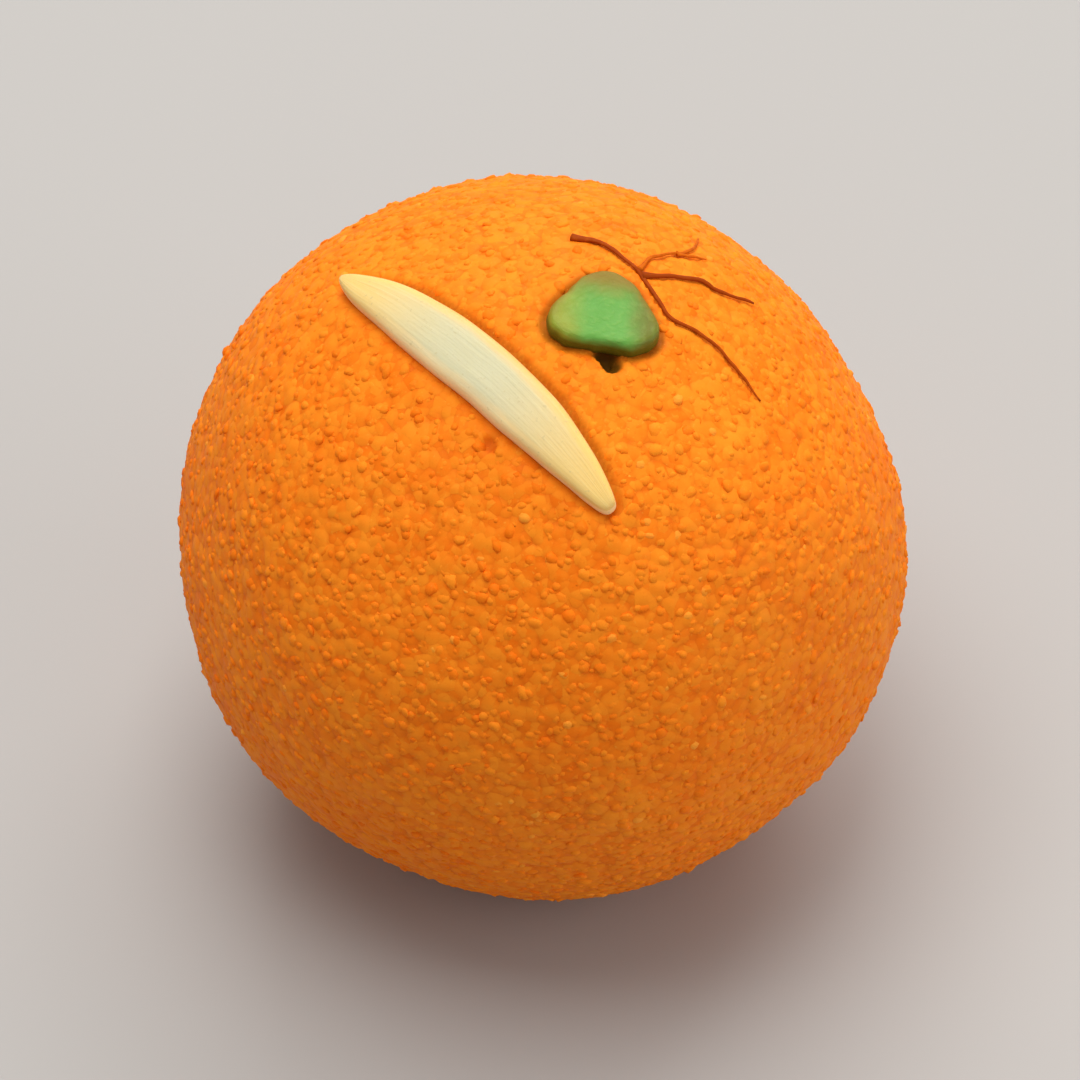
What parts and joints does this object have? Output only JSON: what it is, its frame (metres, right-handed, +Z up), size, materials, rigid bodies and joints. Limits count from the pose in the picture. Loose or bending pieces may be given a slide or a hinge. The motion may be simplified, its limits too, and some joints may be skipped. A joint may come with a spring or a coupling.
{
  "type": "ladoo",
  "caption": "Round Indian sweet of fine pressed grains with a small flat resting spot, topped with an almond sliver, a half pistachio and saffron threads.",
  "frame": {"origin": "centre of the flat spot that the ball rests on", "axes": "+Z up through the crown with the toppings, +X to the right and +Y to the back as the sweet is seen from its front"},
  "size_m": [0.0448, 0.0445, 0.0438],
  "materials": {
    "boondi": "moist pressed grains of fried gram batter, slightly glossy with ghee",
    "almond": "cut face of a blanched almond, satin",
    "pistachio": "cut face of a pistachio, satin",
    "saffron": "dry dark red threads"
  },
  "bodies": {
    "root": {"ladoo_ball": "boondi", "almond_sliver": "almond", "pistachio_half": "pistachio"}
  },
  "joints": []
}
